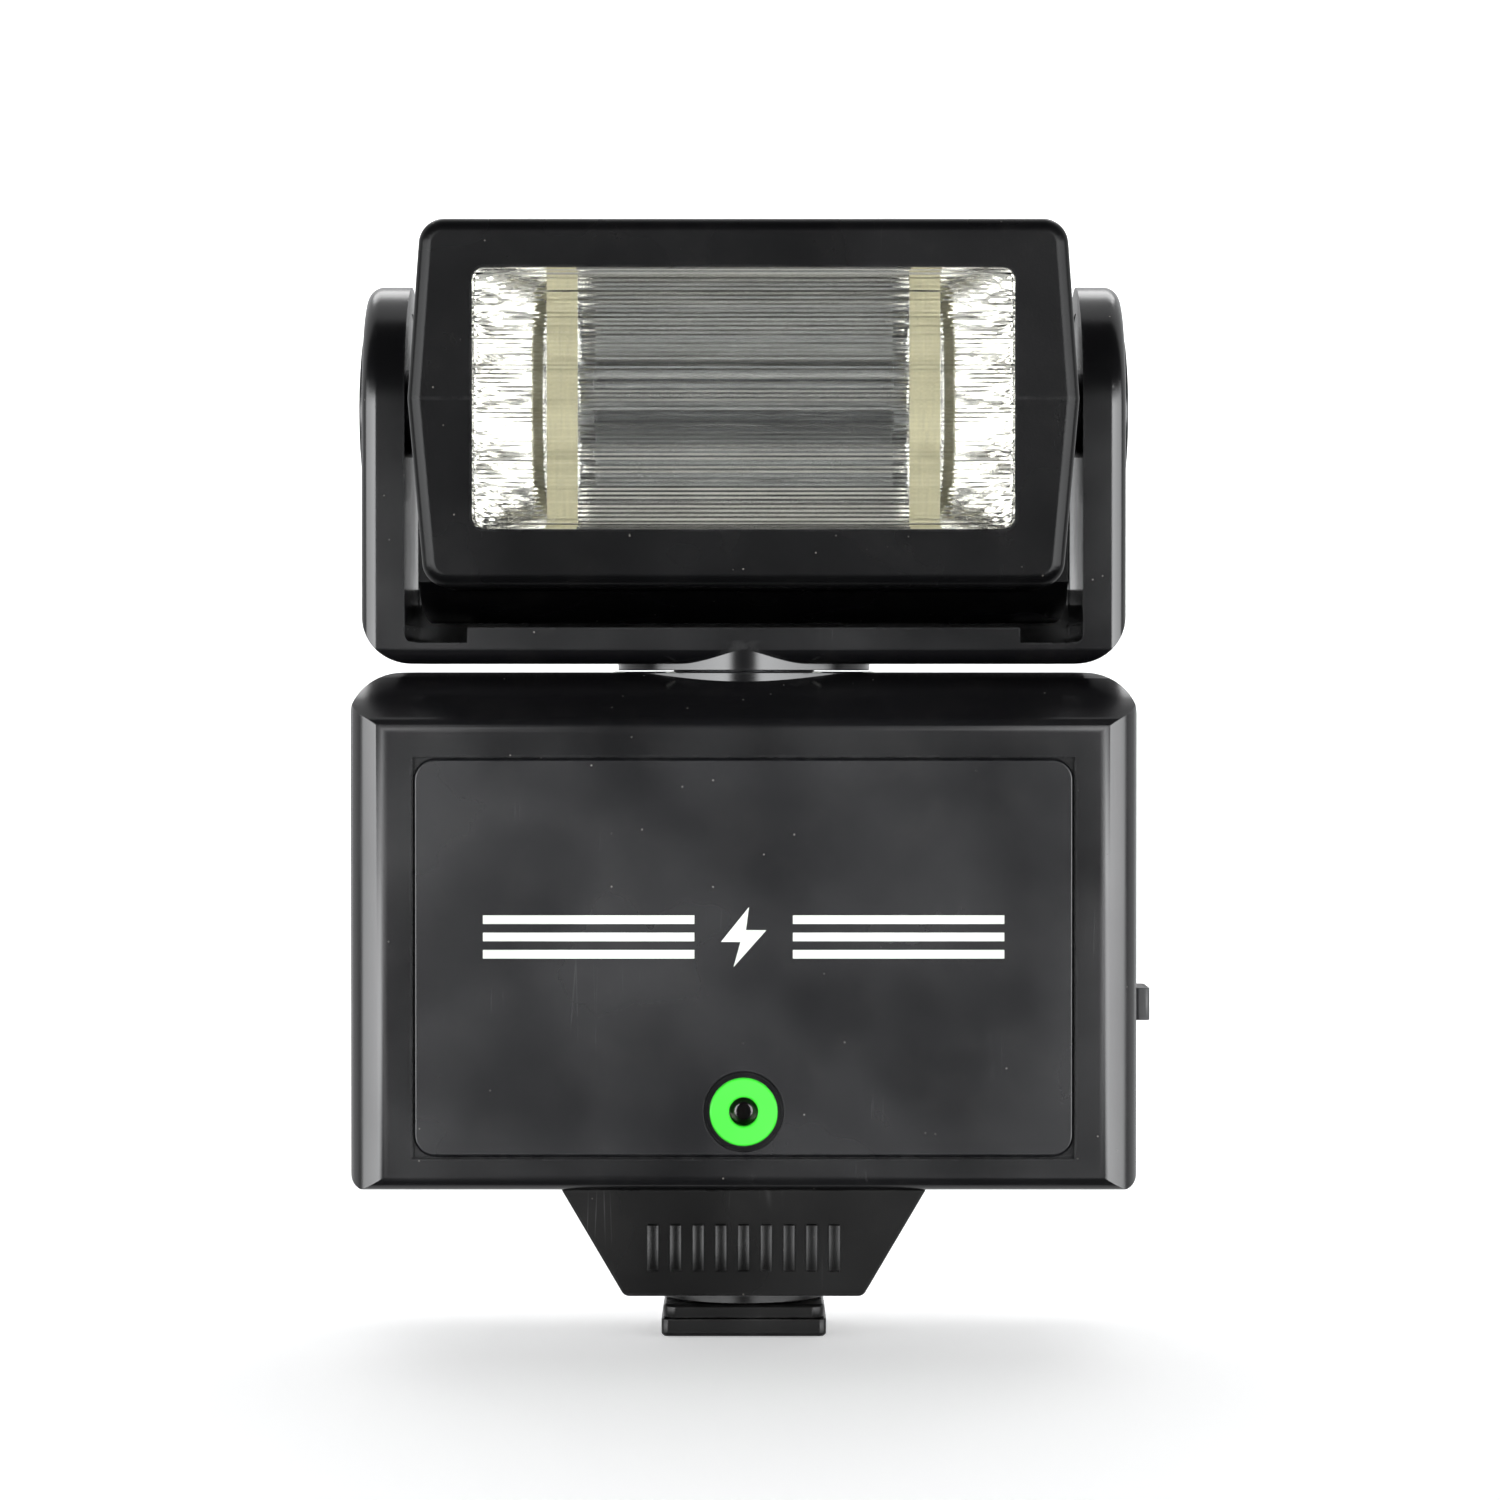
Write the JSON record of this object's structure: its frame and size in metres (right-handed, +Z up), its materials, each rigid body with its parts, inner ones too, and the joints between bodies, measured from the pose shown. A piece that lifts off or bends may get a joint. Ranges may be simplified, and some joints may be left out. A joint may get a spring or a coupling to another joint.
{
  "type": "speedlight flash",
  "caption": "Hot-shoe electronic flash: a battery case on a shoe foot, with a head that tilts in a U-shaped yoke and swivels on the case.",
  "frame": {"origin": "middle of the hot-shoe foot's underside", "axes": "-Y the way the flash shines, +X to the right as seen from in front, +Z up"},
  "size_m": [0.0886, 0.06, 0.1241],
  "materials": {
    "case_plastic": "satin moulded black ABS",
    "head_plastic": "fine-grained charcoal plastic",
    "yoke_plastic": "smooth black plastic",
    "panel_plastic": "satin black with light scratches",
    "bezel_plastic": "glossy black",
    "sensor_green": "bright green",
    "lens_plastic": "smoked clear",
    "inner_black": "plain moulded",
    "window_clear": "clear ridged panel",
    "scale_clear": "clear smooth",
    "card_print": "printed card",
    "reflector_metal": "bright anodised sheet",
    "tube_glass": "clear tube",
    "sleeve_rubber": "pale silicone",
    "steel": "zinc plated",
    "swivel_metal": "dark turned alloy",
    "ring_plastic": "glossy black",
    "contact_metal": "plated",
    "cell_jacket": "printed steel can",
    "capacitor_sleeve": "shrink-sleeved can",
    "ferrite": "plain ferrite",
    "winding": "enamelled copper wire",
    "board_green": "glass-fibre board",
    "chip_black": "moulded chips",
    "knob_plastic": "dark grey moulded",
    "button_red": "glossy red",
    "lamp_amber": "translucent amber",
    "lamp_green": "translucent green",
    "foot_plastic": "worn black plastic"
  },
  "bodies": {
    "case": {"main_shell": "case_plastic", "rear_cover": "case_plastic", "rear_panel": "panel_plastic", "scale_window": "scale_clear", "scale_card": "card_print", "button_spring": "steel", "ready_lamp": "lamp_amber", "check_lamp": "lamp_green", "case_screws": "steel", "front_panel": "panel_plastic", "sensor_bezel": "bezel_plastic", "sensor_ring": "sensor_green", "sensor_lens": "lens_plastic", "photo_sensor": "inner_black", "battery_tray": "inner_black", "battery_cells": "cell_jacket", "tray_contacts": "contact_metal", "cell_springs": "steel", "door_pin": "steel", "main_capacitor": "capacitor_sleeve", "transformer_core": "ferrite", "transformer_winding": "winding", "main_board": "board_green", "board_parts": "chip_black", "sync_socket": "contact_metal", "swivel_base_ring": "ring_plastic", "shoe_bracket": "foot_plastic", "bracket_screws": "steel", "shoe_foot": "foot_plastic"},
    "calculator": {"calculator_slider": "knob_plastic"},
    "power": {"power_switch": "knob_plastic"},
    "mode": {"mode_switch": "knob_plastic"},
    "button": {"test_button": "button_red"},
    "door": {"battery_door": "case_plastic", "door_contacts": "contact_metal"},
    "latch": {"door_latch": "knob_plastic"},
    "shoe_pins": {"contact_pins": "contact_metal"},
    "shoe_clamp": {"lock_plate": "foot_plastic"},
    "shoe_wheel": {"lock_wheel": "foot_plastic"},
    "yoke": {"yoke_frame": "yoke_plastic", "yoke_base_cover": "yoke_plastic", "swivel_collar": "ring_plastic", "swivel_shaft": "swivel_metal", "swivel_retainer": "steel", "spring_washer": "steel", "collar_screws": "steel", "arm_covers": "yoke_plastic", "tilt_pins": "swivel_metal", "tilt_caps": "yoke_plastic"},
    "head": {"head_upper_shell": "head_plastic", "head_lower_shell": "head_plastic", "head_screws": "steel", "flash_window": "window_clear", "flash_reflector": "reflector_metal", "xenon_tube": "tube_glass", "tube_sleeves": "sleeve_rubber", "trigger_coil": "inner_black"}
  },
  "joints": [
    {"name": "head_swivel", "type": "hinge", "parent": "case", "child": "yoke", "pos_m": [0, 0, 0.0755], "axis": [0, 0, 1], "range_deg": [-90, 180]},
    {"name": "head_tilt", "type": "hinge", "parent": "yoke", "child": "head", "pos_m": [0, 0, 0.1044], "axis": [-1, 0, 0], "range_deg": [-10, 90]},
    {"name": "door_swing", "type": "hinge", "parent": "case", "child": "door", "pos_m": [0.0421, 0.015, 0.038], "axis": [0, 0, 1], "range_deg": [0, 95]},
    {"name": "latch_slide", "type": "slide", "parent": "door", "child": "latch", "axis": [0, 1, 0], "range_m": [0, 0.0025]},
    {"name": "calculator_slide", "type": "slide", "parent": "case", "child": "calculator", "axis": [1, 0, 0], "range_m": [0, 0.03]},
    {"name": "power_slide", "type": "slide", "parent": "case", "child": "power", "axis": [1, 0, 0], "range_m": [0, 0.004]},
    {"name": "mode_slide", "type": "slide", "parent": "case", "child": "mode", "axis": [1, 0, 0], "range_m": [0, 0.012]},
    {"name": "button_press", "type": "slide", "parent": "case", "child": "button", "axis": [0, -1, 0], "range_m": [0, 0.0008], "stiffness_N_per_m": 100, "springref_m": -0.0005},
    {"name": "pin_press", "type": "slide", "parent": "case", "child": "shoe_pins", "axis": [0, 0, 1], "range_m": [0, 0.00025], "stiffness_N_per_m": 60, "springref_m": -0.0003},
    {"name": "clamp_lift", "type": "slide", "parent": "case", "child": "shoe_clamp", "axis": [0, 0, 1], "range_m": [0, 0.0015]},
    {"name": "wheel_spin", "type": "hinge", "parent": "shoe_clamp", "child": "shoe_wheel", "pos_m": [0, 0, 0.006], "axis": [0, 0, 1], "range_deg": [0, 360]}
  ],
  "couplings": [
    {"joint": "wheel_spin", "follows": "clamp_lift", "rad_per_m": 4188.8}
  ]
}
